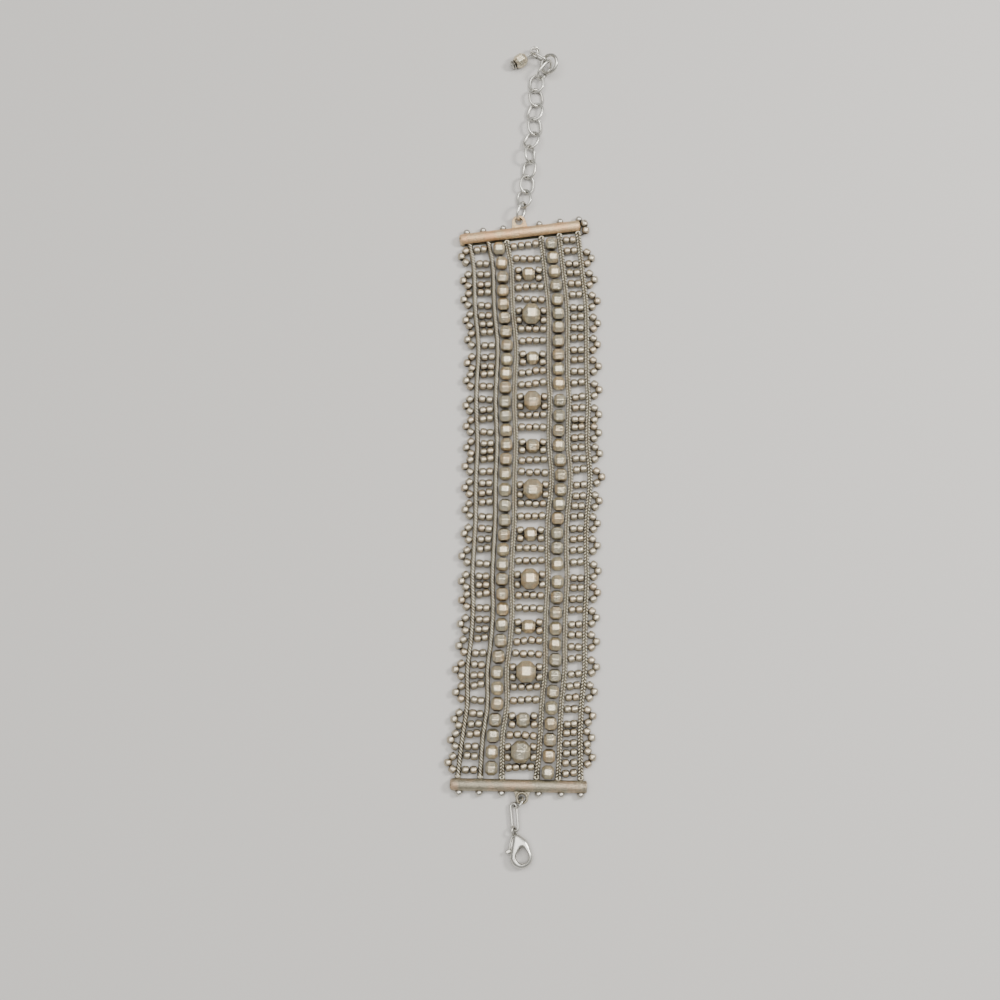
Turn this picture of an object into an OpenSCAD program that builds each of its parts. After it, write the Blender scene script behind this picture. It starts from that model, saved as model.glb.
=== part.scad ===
// Beaded cuff bracelet, lying open and flat on a table, clasp towards -Y, extension chain towards +Y.
// Six cords run between two end bars. Rows of seed beads and columns of cut beads are laced between them.

/* [Cords] */
// Diameter of each of the six cords
cord_d = 1.6; // [1.2:0.1:1.8]
// Distance between the two cords that hold a column of cut beads
column_gap = 5.35; // [5.2:0.05:5.6]
// Distance between the two cords that hold the side rows of seed beads
side_gap = 5.55; // [5.3:0.05:5.8]

/* [Seed beads] */
// Diameter of a row of seed beads
seed_d = 1.95; // [1.6:0.05:2.1]
// Rows of seed beads in each side band
side_rows = 48; // [40:4:48]
// Mean distance between rows in the left band
left_pitch = 3.18; // [3.1:0.01:3.2]
// Mean distance between rows in the right band
right_pitch = 3.257; // [3.2:0.01:3.27]
// Distance between the two feet of an edge loop
loop_feet = 3.6; // [3:0.1:3.8]

/* [Cut beads] */
// Cut beads in each column
column_beads = 36; // [30:1:36]
// Across the corners of a column bead
cut_d = 4.05; // [3.6:0.05:4.1]
// Length of a column bead along its hole
cut_len = 3.3; // [3:0.1:3.4]
// Across the corners of a middle-sized centre bead
middle_d = 4.2; // [3.8:0.1:4.6]
// Length of a middle-sized centre bead
middle_len = 3.7; // [3.4:0.1:3.9]
// Across the corners of a large centre bead
large_d = 6.2; // [5.6:0.1:6.4]
// Length of a large centre bead
large_len = 5.3; // [5:0.1:5.5]
// Mean distance between centre beads
centre_pitch = 12.83; // [12.6:0.01:12.9]

/* [End bars] */
// Length of an end bar
bar_len = 37.3; // [37:0.1:40]
// Width of an end bar
bar_w = 3.4; // [3.2:0.1:4]
// Height of an end bar
bar_h = 3.1; // [2.9:0.1:3.6]
// Diameter of the balls along the outer edge
ball_d = 1.5; // [1.2:0.1:1.8]
// Diameter of the hole in each tab
tab_hole_d = 2; // [1.95:0.05:2.1]

/* [Chain and clasp] */
// Wire of the extension chain
wire_d = 0.62; // [0.5:0.02:0.64]
// Outer length of a chain link
link_len = 6; // [5.96:0.02:6.04]
// Outer length of the last link
last_link_len = 7; // [6.8:0.05:7.1]
// Outer width of a chain link
link_w = 4.9; // [4.7:0.1:5]
// Thickness of the clasp
clasp_t = 2.6; // [2.4:0.1:3]
// Outer width of the clasp at its round end
clasp_w = 6.1; // [5.8:0.1:6.4]

/* [Hidden] */

// Where the middle of the cords' span lies, measured from the middle of the whole bracelet
shift = [-0.14, -18.22, 0];
gap = 0.24;
silver = "silver";
cord_colour = "lightgray";
bead_colour = "gainsboro";

// Middle of each bar, its turn in degrees, and the side its outer edge faces
top_bar_at = [-0.3, 78.9];
top_bar_turn = 7.1;
bottom_bar_at = [-2.0, -79.5];
bottom_bar_turn = -1.2;
// Tabs: width at the foot and at the round tip, reach beyond the bar, and place along it
tab_foot = 4.6;
tab_tip = 3.4;
tab_z = 1.0;
tab_t = 0.9;
top_tab_reach = 4.2;
bottom_tab_reach = 3.3;
top_tab_x = -0.45;
bottom_tab_x = -1.0;
function hole_off(reach) = bar_w / 2 + reach - tab_tip / 2;
function turned(v, a) = [v[0] * cos(a) - v[1] * sin(a), v[0] * sin(a) + v[1] * cos(a)];
bottom_hole = bottom_bar_at - turned([bottom_tab_x, hole_off(bottom_tab_reach)], bottom_bar_turn);
// How far a tab's foot runs into the bar
tab_sink = 0.3;
// Slot that takes the cords' ends: height, depth, height of its middle, and the wall left at each end
slot_h = 1.85;
slot_deep = 1.8;
slot_z = 1.5;
slot_end = 0.8;
cord_in_slot = 1.5;
// Balls along the outer edge: how far their middles stand out, and their height off the table
ball_out = 0.38;
ball_low = 0.4;
// Places along the top bar; the lower bar's balls stand at its cords
TOP_BALLS = [-16.3, -11.5, -5.6, 5.1, 11.2, 16.8];

// Sway of the two inner cords. Columns: distance along the bracelet, third cord, fourth cord
SWAY = [
    [ 76.2, -5.0, 5.2], [ 68.5, -3.7, 6.0], [ 56.3, -3.3, 7.1], [ 44.2, -2.3, 7.1],
    [ 34.6, -2.7, 7.1], [ 28.4, -2.9, 7.4], [ 22.2, -2.7, 7.1], [ 16.0, -2.5, 7.0],
    [  5.5, -2.9, 7.6], [ -6.3, -3.0, 6.5], [-15.5, -3.5, 6.3], [-22.9, -3.8, 6.4],
    [-31.3, -3.6, 5.9], [-40.3, -4.2, 5.6], [-48.0, -5.1, 5.5], [-57.7, -5.1, 4.5],
    [-66.4, -6.3, 4.0], [-76.9, -6.5, 3.0]
];
// How high each cord lies where the cut beads carry it
CORD_LIFT = [1.5, 1.9, 2.0, 2.0, 1.9, 1.5];
// Where a cord starts to rise from the bar's slot, and the run over which it does
lift_from = 2;
lift_run = 5;
// Share by which the cords spread at the lower bar, and the stretch over which they do
flare_share = 0.1;
flare_from = -66;
flare_run = 11;
cord_rings = 32;
cord_sides = 8;

// Chain links from the top bar. Columns: middle x, y and z, heading from +Y, dip, roll about the link's length
LINKS = [
    [-0.78,  85.70, 2.27, 20.0,  0.0,  68.4], [0.12,  89.95, 1.50, -9.6, -8.8, -29.5],
    [ 0.96,  94.43, 1.35,  7.8,  0.1,  26.7], [1.64,  99.03, 1.57,  7.6,  5.3, -33.6],
    [ 1.87, 103.64, 1.96,  2.7,  0.1,  51.3], [2.38, 108.23, 1.62, 25.9,  0.4, -24.2],
    [ 3.26, 112.72, 1.35, -4.7,  3.8,  27.1], [3.47, 117.32, 1.31, 19.4,  2.2, -17.7],
    [ 3.72, 121.91, 1.17, -5.6,  1.2,  23.0], [3.95, 126.53, 1.11,  2.2, -0.1, -21.9],
    [ 6.31, 130.34, 2.32, 38.1,  0.0,  72.3]
];
link_sides = 5;
link_steps = 14;

// Smooth curve through a table's rows; the column to read is c
function span_of(y, k = 0) = (k >= len(SWAY) - 2 || y > SWAY[k + 1][0]) ? k : span_of(y, k + 1);
function knot(k, c) = k < 0 ? 2 * SWAY[0][c] - SWAY[1][c]
    : k >= len(SWAY) ? 2 * SWAY[len(SWAY) - 1][c] - SWAY[len(SWAY) - 2][c] : SWAY[k][c];
function blend(a, b, c, d, t) =
    b + t * (c - a + t * (2 * a - 5 * b + 4 * c - d + t * (3 * b - a - 3 * c + d))) / 2;
function sway(y, c) = let (k = span_of(y), t = (SWAY[k][0] - y) / (SWAY[k][0] - SWAY[k + 1][0]))
    t < 0 || t > 1 ? SWAY[k][c] + t * (SWAY[k + 1][c] - SWAY[k][c])
    : blend(knot(k - 1, c), knot(k, c), knot(k + 1, c), knot(k + 2, c), t);

// Cord i, counted from 0 at the left, at distance y
function flare(y) = 1 + flare_share * max(0, flare_from - y) / flare_run;
function cord_x(i, y) = i < 3
    ? sway(y, 1) - flare(y) * (i == 2 ? 0 : i == 1 ? column_gap : column_gap + side_gap)
    : sway(y, 2) + flare(y) * (i == 3 ? 0 : i == 4 ? column_gap : column_gap + side_gap);
function bar_y(at, turn, x) = at[1] + (x - at[0]) * tan(turn);
function cord_top(i) = bar_y(top_bar_at, top_bar_turn, cord_x(i, 77)) - bar_w / 2 + cord_in_slot;
function cord_bottom(i) = bar_y(bottom_bar_at, bottom_bar_turn, cord_x(i, -77)) + bar_w / 2 - cord_in_slot;
function ease(t) = let (u = min(1, max(0, t))) u * u * (3 - 2 * u);
function cord_z(i, y) = slot_z + (CORD_LIFT[i] - slot_z)
    * ease((min(cord_top(i) - y, y - cord_bottom(i)) - lift_from) / lift_run);
function cord_at(i, y) = [cord_x(i, y), y, cord_z(i, y)];

// Small unevenness of hand work, between -1 and 1
function wobble(i, k) = sin(i * 137.5 + k * 73);

// Rhythm of the side rows within each group of four
LEFT_NUDGE = [0, -1.0, -1.1, -0.6];
RIGHT_NUDGE = [0, 0.17, -0.56, 0];
function left_row_y(i) = 74.1 - left_pitch * i + LEFT_NUDGE[i % 4];
function right_row_y(i) = 77.0 - right_pitch * i + RIGHT_NUDGE[i % 4];

// Centre beads from the top; the last one sits closer
last_centre_y = -70.5;
function centre_y(k) = k < 11 ? 66.4 - centre_pitch * k : last_centre_y;
function is_large(k) = k == 11 || k % 2 == 1;
// Rows of four seed beads follow each centre bead at these distances
ROW_AFTER = [4.0, 7.6];
CENTRE_ROWS = concat([75.5, 71.2],
    [for (k = [0:9]) for (d = ROW_AFTER) centre_y(k) - d],
    [centre_y(10) - ROW_AFTER[0], last_centre_y - ROW_AFTER[0]]);
// A pair of seed beads at each end of a centre bead: distance from its thread, and the bridge between them
flank_off = 1.2;
flank_bridge = 0.5;

// Beads rest on the table, and their threads run at the height of their holes
clear_of_table = 0.02;
cut_z = cut_d / 2 + clear_of_table;
thread_d = 0.5;
// First and last bead of each column
LEFT_CUT_ENDS = [74.4, -74.9];
RIGHT_CUT_ENDS = [76.0, -75.8];
function cut_y(ends, k) = ends[0] + (ends[1] - ends[0]) * k / (column_beads - 1);
// Cut beads: bore, and for each size the length of the flat and the width of the end
bead_bore = 0.9;
cut_flat = 1.7;
cut_end = 2.6;
middle_flat = 1.9;
middle_end = 2.7;
// Rings of the large bead, as shares of its width and length
LARGE_RINGS = [[0.26, 0.5], [0.42, 0.36], [0.5, 0.19]];

// Tube through a list of rings
module tube(rings) {
    sides = len(rings[0]);
    count = len(rings);
    polyhedron(
        points = [for (r = rings) each r],
        faces = concat(
            [[for (s = [0:sides - 1]) s]],
            [for (r = [0:count - 2]) for (s = [0:sides - 1])
                [r * sides + s, (r + 1) * sides + s, (r + 1) * sides + (s + 1) % sides]],
            [for (r = [0:count - 2]) for (s = [0:sides - 1])
                [r * sides + s, (r + 1) * sides + (s + 1) % sides, r * sides + (s + 1) % sides]],
            [[for (s = [sides - 1:-1:0]) (count - 1) * sides + s]]
        )
    );
}

module rod(a, b, d, fn = 24) {
    v = b - a;
    flat = norm([v[0], v[1]]);
    translate(a) rotate([0, atan2(flat, v[2]), atan2(v[1], v[0])]) cylinder(d = d, h = norm(v), $fn = fn);
}

// A thread pressed through a cord, as a slim six-sided rod
module thread(a, b, d) {
    across = [b[1] - a[1], a[0] - b[0], 0] / norm([b[0] - a[0], b[1] - a[1]]);
    hull() {
        for (p = [a, b]) translate(p) for (s = [-1, 1]) {
            translate(across * s * d / 2) cube(0.01, center = true);
            translate(across * s * d / 4 + [0, 0, d * 0.43]) cube(0.01, center = true);
            translate(across * s * d / 4 - [0, 0, d * 0.43]) cube(0.01, center = true);
        }
    }
}

module cord_tube(i) {
    top = cord_top(i);
    run = top - cord_bottom(i);
    rings = [for (r = [0:cord_rings]) let (y = top - run * r / cord_rings, p = cord_at(i, y))
        [for (s = [0:cord_sides - 1]) let (a = 360 * (s + 0.5) / cord_sides)
            [p[0] + cord_d / 2 * cos(a), p[1], p[2] + cord_d / 2 * sin(a)]]];
    tube(rings);
}

// Threads that run from cord i to cord j, one through each bead of a column
module column_threads(i, j, ends) {
    for (k = [0:column_beads - 1]) {
        y = cut_y(ends, k);
        from = cord_x(i, y);
        till = cord_x(j, y);
        thread([from, y, cut_z], [till - sign(till - from) * (cord_d / 2 + gap), y, cut_z], thread_d);
    }
}

// The thread of a centre bead, with a pair of seed beads at each end of it
module centre_thread(k) {
    y = centre_y(k);
    a = cord_at(3, y);
    b = cord_at(2, y);
    z = centre_z(k);
    half = (is_large(k) ? large_len : middle_len) / 2 + gap;
    mid = (a[0] + b[0]) / 2;
    inner = b[0] + cord_d / 2 + 2 * gap;
    outer = a[0] - cord_d / 2;
    thread([a[0], y, z], [inner, y, z], thread_d);
    for (side = [-1, 1]) {
        from = side < 0 ? inner : mid + half;
        till = side < 0 ? mid - half : outer;
        for (e = [-1, 1]) translate([from, y + e * flank_off, z])
            rotate([0, 90, 0]) cylinder(d = seed_d, h = till - from, $fn = 8);
        translate([(from + till) / 2, y, z]) cube([flank_bridge, flank_off * 2, flank_bridge], center = true);
    }
}

module cord(i) {
    color(cord_colour) at_rest() {
        cord_tube(i);
        if (i == 2) column_threads(2, 1, LEFT_CUT_ENDS);
        if (i == 3) {
            column_threads(3, 4, RIGHT_CUT_ENDS);
            for (k = [0:11]) centre_thread(k);
        }
    }
}

module at_rest() {
    translate(shift) children();
}

// A row of seed beads between two cords, a little aslant
row_slant = 0.25;
module seed_row(i, j, y, k) {
    a = cord_at(i, y + row_slant * wobble(k, i));
    b = cord_at(j, y - row_slant * wobble(k, i));
    d = (b - a) / norm(b - a);
    rod(a + d * (cord_d / 2 + gap), b - d * (cord_d / 2 + gap), seed_d);
}

module left_seed_rows() {
    color(bead_colour) at_rest() for (k = [0:side_rows - 1]) seed_row(0, 1, left_row_y(k), k);
}

module right_seed_rows() {
    color(bead_colour) at_rest() for (k = [0:side_rows - 1]) seed_row(4, 5, right_row_y(k), k);
}

module centre_seed_rows() {
    color(bead_colour) at_rest() for (k = [0:len(CENTRE_ROWS) - 1]) seed_row(2, 3, CENTRE_ROWS[k], k);
}

// A loop of three seed beads outside an edge cord
loop_d = seed_d - 0.1;
loop_out = 0.35;
loop_low = 0.1;
module edge_loop(i, y, side) {
    x = cord_x(i, y) + side * (cord_d / 2 + gap + loop_out);
    translate([x, y, loop_d / 2 + loop_low]) rotate([0, 0, side > 0 ? -90 : 90])
        rotate_extrude(angle = 180, $fn = 48) translate([loop_feet / 2, 0]) circle(d = loop_d, $fn = 24);
}

module left_edge_loops() {
    color(bead_colour) at_rest() for (k = [0:2:side_rows - 2])
        edge_loop(0, (left_row_y(k) + left_row_y(k + 1)) / 2, -1);
}

module right_edge_loops() {
    color(bead_colour) at_rest() for (k = [1:2:side_rows - 3])
        edge_loop(5, (right_row_y(k) + right_row_y(k + 1)) / 2, 1);
}

// Side view of a bead from its rings, the end ring first. Columns: radius to the corners, distance from middle
half_side = 22.5;
function upper_half(rings) = concat(
    [for (r = rings) [-r[1], r[0] * cos(half_side)]],
    [for (m = [len(rings) - 1:-1:0]) [rings[m][1], rings[m][0] * cos(half_side)]]);
function bead_outline(rings) = let (up = upper_half(rings))
    concat(up, [for (m = [len(up) - 1:-1:0]) [up[m][0], -up[m][1]]]);

// A bead drilled along X, whose side view is cut the same on each of its eight sides
module faceted_bead(rings, length) {
    difference() {
        intersection_for(a = [0:45:135]) rotate([a + 90, 0, 0])
            linear_extrude(2 * length, center = true) polygon(bead_outline(rings));
        rotate([0, 90, 0]) cylinder(d = bead_bore, h = 2 * length, center = true, $fn = 24);
    }
}

module cut_bead(d, length, flat, end_d) {
    faceted_bead([[end_d / 2, length / 2], [d / 2, flat / 2]], length);
}

// The large bead has one more ring of facets on each shoulder
module large_bead(d, length) {
    faceted_bead([for (r = LARGE_RINGS) [d * r[0], length * r[1]]], length);
}

// Cut beads between cords i and j, each turned about its thread by an uneven angle
module cut_column(i, j, ends) {
    color(bead_colour) at_rest() for (k = [0:column_beads - 1]) {
        y = cut_y(ends, k);
        translate([(cord_x(i, y) + cord_x(j, y)) / 2, y, cut_z])
            rotate([wobble(k, 4 * i + 1) * half_side, 0, 0]) cut_bead(cut_d, cut_len, cut_flat, cut_end);
    }
}

// Height of a centre bead's hole: a large bead rests on one of its sides, a smaller one hangs on its thread
middle_z = 2.0;
function centre_z(k) = is_large(k) ? large_d * cos(half_side) / 2 + clear_of_table : middle_z;

module centre_bead(k) {
    y = centre_y(k);
    mid = (cord_x(2, y) + cord_x(3, y)) / 2;
    color(bead_colour) at_rest() translate([mid, y, centre_z(k)]) {
        if (is_large(k)) large_bead(large_d, large_len);
        else cut_bead(middle_d, middle_len, middle_flat, middle_end);
    }
}

// End bar along X with its outer edge towards +Y: flat below, round above, slotted for the cords
module bar(balls) {
    difference() {
        translate([-bar_len / 2, 0, 0]) rotate([90, 0, 90]) linear_extrude(bar_len) intersection() {
            union() {
                translate([-bar_w / 2, 0]) square([bar_w, bar_h - bar_w / 2]);
                translate([0, bar_h - bar_w / 2]) circle(d = bar_w, $fn = 64);
            }
            translate([-bar_w / 2, 0]) square([bar_w, bar_h]);
        }
        translate([slot_end - bar_len / 2, -bar_w, slot_z - slot_h / 2])
            cube([bar_len - 2 * slot_end, bar_w / 2 + slot_deep, slot_h]);
    }
    for (x = balls) translate([x, bar_w / 2 + ball_out, ball_d / 2 + ball_low]) sphere(d = ball_d, $fn = 32);
}

// Flat tab with a hole, its foot inside the bar
module tab(foot_w, tip_w, reach) {
    hole_y = hole_off(reach);
    foot_y = bar_w / 2 - tab_sink;
    difference() {
        translate([0, 0, tab_z]) linear_extrude(tab_t) {
            translate([0, hole_y]) circle(d = tip_w, $fn = 48);
            polygon([[-foot_w / 2, foot_y], [foot_w / 2, foot_y], [tip_w / 2, hole_y], [-tip_w / 2, hole_y]]);
        }
        translate([0, hole_y, 0]) cylinder(d = tab_hole_d, h = bar_h, $fn = 48);
    }
}

module top_bar() {
    color(silver) at_rest() translate(top_bar_at) rotate(top_bar_turn) {
        bar(TOP_BALLS);
        translate([top_tab_x, 0, 0]) tab(tab_foot, tab_tip, top_tab_reach);
    }
}

module bottom_bar() {
    color(silver) at_rest() translate(bottom_bar_at) rotate(180 + bottom_bar_turn) {
        bar([for (i = [0:5]) bottom_bar_at[0] - cord_x(i, -77)]);
        translate([bottom_tab_x, 0, 0]) tab(tab_foot, tab_tip, bottom_tab_reach);
    }
}

// A closed ring of wire swept round an oval whose long side lies along Y; blunt sets how short its bends are
blunt = 4;
function oval_at(t, half_l, half_w) = let (a = 360 * t, c = cos(a), s = sin(a))
    [half_w * s, (half_l - half_w) * (c > 0 ? 1 : -1) * ease(abs(c) * blunt) + half_w * c, 0];
module oval_link(length, width, wire, steps, sides) {
    half_l = (length - wire) / 2;
    half_w = (width - wire) / 2;
    pts = [for (k = [0:steps - 1]) oval_at(k / steps, half_l, half_w)];
    rings = [for (k = [0:steps - 1])
        let (t = pts[(k + 1) % steps] - pts[(k + steps - 1) % steps], n = [-t[1], t[0], 0] / norm(t))
        [for (s = [0:sides - 1]) let (a = 360 * s / sides)
            pts[k] + wire / 2 * (n * cos(a) + [0, 0, sin(a)])]];
    polyhedron(
        points = [for (r = rings) each r],
        faces = [for (r = [0:steps - 1]) for (s = [0:sides - 1]) for (half = [0, 1])
            let (a = r * sides, b = (r + 1) % steps * sides, u = (s + 1) % sides)
            half == 0 ? [a + s, a + u, b + u] : [a + s, b + u, b + s]]
    );
}

// Lays a link or ring by a row of middle x, y and z, heading from +Y, dip and roll
module laid(row) {
    translate([row[0], row[1], row[2]]) rotate([0, 0, -row[3]]) rotate([row[4], 0, 0])
        rotate([0, row[5], 0]) children();
}

module chain_link(k) {
    is_last = k == len(LINKS) - 1;
    color(silver) at_rest() laid(LINKS[k])
        oval_link(is_last ? last_link_len : link_len, link_w, wire_d, link_steps, link_sides);
}

drop_link_place = [5.10, 134.37, 2.35, -56.7, 0.6, 73.9];

module drop_link() {
    color(silver) at_rest() laid(drop_link_place) oval_link(link_len, link_w, wire_d, link_steps, link_sides);
}

module ring(d, wire) {
    rotate_extrude($fn = 48) translate([(d - wire) / 2, 0]) circle(d = wire, $fn = 16);
}

end_ring_d = 6.5;
end_ring_wire = 0.95;
end_ring_place = [7.68, 132.33, 2.21, -15.4, -4.4, -37.7];

module end_ring() {
    color(silver) at_rest() laid(end_ring_place) ring(end_ring_d, end_ring_wire);
}

// The drop hangs from its eye by a stem; the stem's direction is turned from +X
drop_eye_at = [3.48, 136.43, 1.92];
drop_turn = 213;
drop_eye_tilt = -30.9;
drop_eye_d = 3.3;
drop_wire = 0.6;
drop_bead_off = 5.2;
drop_bead_d = 4.1;
drop_bead_len = 3.8;
// Thin cap on the stem's end: the gap before it, its two widths and its thickness
drop_cap_off = 0.5;
drop_cap_d = 2.9;
drop_cap_end_d = 2.4;
drop_cap_t = 0.7;

module drop_pin() {
    color(silver) at_rest() translate(drop_eye_at) rotate(drop_turn) {
        rotate([drop_eye_tilt, 0, 0]) ring(drop_eye_d, drop_wire);
        translate([(drop_eye_d - drop_wire) / 2, 0, 0]) rotate([0, 90, 0])
            cylinder(d = drop_wire, h = drop_bead_off + drop_bead_len / 2, $fn = 16);
        translate([drop_bead_off + drop_bead_len / 2 + drop_cap_off, 0, 0]) rotate([0, 90, 0])
            cylinder(d1 = drop_cap_d, d2 = drop_cap_end_d, h = drop_cap_t, $fn = 32);
    }
}

module drop_bead() {
    color(bead_colour) at_rest() translate(drop_eye_at) rotate(drop_turn) translate([drop_bead_off, 0, 0])
        cut_bead(drop_bead_d, drop_bead_len, middle_flat, middle_end);
}

// The ring through the lower tab leans over
clasp_ring_d = 3.9;
clasp_ring_wire = 0.6;
clasp_ring_dir = 235;
clasp_ring_tilt = 68;
clasp_ring_off = 1.5;
clasp_ring_at = [
    bottom_hole[0] + clasp_ring_off * cos(clasp_ring_dir),
    bottom_hole[1] + clasp_ring_off * sin(clasp_ring_dir),
    (clasp_ring_d - clasp_ring_wire) / 2 * sin(clasp_ring_tilt) + clasp_ring_wire / 2 + clear_of_table
];

module clasp_ring() {
    color(silver) at_rest() translate(clasp_ring_at) rotate(clasp_ring_dir) rotate([clasp_ring_tilt, 0, 0])
        ring(clasp_ring_d, clasp_ring_wire);
}

clasp_link_at = [-3.0, -87.9, 1.3];
clasp_link_len = 7.8;
clasp_link_w = 2.9;
clasp_link_turn = [0, -20, 4];
clasp_link_wire = 0.6;
clasp_link_steps = 16;
clasp_link_sides = 6;

module clasp_link() {
    color(silver) at_rest() translate(clasp_link_at) rotate(clasp_link_turn)
        oval_link(clasp_link_len, clasp_link_w, clasp_link_wire, clasp_link_steps, clasp_link_sides);
}

// Clasp: a hook whose mouth a sprung lever closes, its round end towards -Y
clasp_at = [-1.25, -98.45];
clasp_top = [-2.6, -93.1];
clasp_top_d = 1.9;
clasp_shoulder = [-1.0, -95.05];
clasp_shoulder_d = 3.2;
clasp_z = 1.4;
clasp_hole_at = [-0.87, -98.4];
clasp_hole_d = 3.7;
clasp_hole_top = [-1.0, -96.2];
clasp_hole_top_d = 1.3;
clasp_eye_at = [-3.1, -91.45];
clasp_eye_lean = 62;
clasp_eye_d = 2.7;
clasp_eye_wire = 0.6;
pivot_at = [-2.55, -94.3];
pin_d = 0.6;
pin_bore_d = 0.7;
lever_t = 1.1;
lever_slot_t = 1.4;
hub_d = 1.5;
lever_tip = [-3.5, -98.25];
lever_tip_d = 1.3;
thumb_at = [-4.75, -97.0];
thumb_d = 1.0;
thumb_root_off = 0.3;
// Corners of the mouth cut in the hook, and of the slot that the lever lies in
mouth_low = [-6, -99.05];
mouth_high = [-1.5, -95.75];
slot_low = [-6, -96.9];
slot_high = [-0.8, -93.4];
pin_sink = 0.1;

module clasp_outline() {
    hull() {
        translate(clasp_at) circle(d = clasp_w, $fn = 64);
        translate(clasp_shoulder) circle(d = clasp_shoulder_d, $fn = 48);
        translate(clasp_top) circle(d = clasp_top_d, $fn = 48);
    }
}

module clasp_opening() {
    hull() {
        translate(clasp_hole_at) circle(d = clasp_hole_d, $fn = 48);
        translate(clasp_hole_top) circle(d = clasp_hole_top_d, $fn = 32);
    }
}

module lever_arm() {
    hull() {
        translate(pivot_at) circle(d = hub_d, $fn = 32);
        translate(lever_tip) circle(d = lever_tip_d, $fn = 32);
    }
}

module clasp_body() {
    color(silver) at_rest() {
        difference() {
            translate([0, 0, clasp_z - clasp_t / 2]) linear_extrude(clasp_t) difference() {
                clasp_outline();
                clasp_opening();
                translate(mouth_low) square(mouth_high - mouth_low);
            }
            translate([0, 0, clasp_z - lever_slot_t / 2]) linear_extrude(lever_slot_t)
                translate(slot_low) square(slot_high - slot_low);
        }
        translate([pivot_at[0], pivot_at[1], clasp_z - clasp_t / 2 + pin_sink])
            cylinder(d = pin_d, h = clasp_t - 2 * pin_sink, $fn = 32);
        translate([clasp_eye_at[0], clasp_eye_at[1], clasp_z]) rotate([0, clasp_eye_lean, 0])
            ring(clasp_eye_d, clasp_eye_wire);
    }
}

module clasp_lever() {
    color(silver) at_rest() translate([0, 0, clasp_z - lever_t / 2]) difference() {
        linear_extrude(lever_t) {
            lever_arm();
            hull() {
                translate(thumb_at) circle(d = thumb_d, $fn = 32);
                translate([lever_tip[0] + thumb_root_off, thumb_at[1]]) circle(d = thumb_d, $fn = 32);
            }
        }
        translate(pivot_at) cylinder(d = pin_bore_d, h = 2 * clasp_t, center = true, $fn = 32);
    }
}

top_bar();
bottom_bar();
for (i = [0:5]) cord(i);
left_seed_rows();
centre_seed_rows();
right_seed_rows();
left_edge_loops();
right_edge_loops();
cut_column(1, 2, LEFT_CUT_ENDS);  // left_cut_beads
cut_column(3, 4, RIGHT_CUT_ENDS);  // right_cut_beads
for (k = [0:11]) centre_bead(k);
for (k = [0:10]) chain_link(k);
end_ring();
drop_link();
drop_pin();
drop_bead();
clasp_ring();
clasp_link();
clasp_body();
clasp_lever();
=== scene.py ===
import math
import random

import bmesh
import bpy
import numpy as np
from mathutils import Matrix, Vector


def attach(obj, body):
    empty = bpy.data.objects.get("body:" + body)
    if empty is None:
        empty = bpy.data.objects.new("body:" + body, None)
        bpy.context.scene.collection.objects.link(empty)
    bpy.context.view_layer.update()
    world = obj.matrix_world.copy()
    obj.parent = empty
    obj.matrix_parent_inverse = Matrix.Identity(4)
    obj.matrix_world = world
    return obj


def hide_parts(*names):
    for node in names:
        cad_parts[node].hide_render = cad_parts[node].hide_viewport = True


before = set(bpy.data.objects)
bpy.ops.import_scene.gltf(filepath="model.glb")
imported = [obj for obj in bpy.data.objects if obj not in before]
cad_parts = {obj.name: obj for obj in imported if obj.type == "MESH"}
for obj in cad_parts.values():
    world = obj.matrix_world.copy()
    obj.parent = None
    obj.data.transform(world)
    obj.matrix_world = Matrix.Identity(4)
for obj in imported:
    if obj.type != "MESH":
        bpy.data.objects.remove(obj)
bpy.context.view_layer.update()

dice = random.Random(11)

# Lengths are in millimetres until a piece is finished, measured from the middle of the cords' span.
MM = 0.001
SHIFT = Vector((-0.14, -18.22, 0.0))
UP = Vector((0, 0, 1))


# Camera, floor and light

CAMERA_HEIGHT = 417.0
CAMERA_BACK = 81.8
CAMERA_X = -7.0


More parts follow.
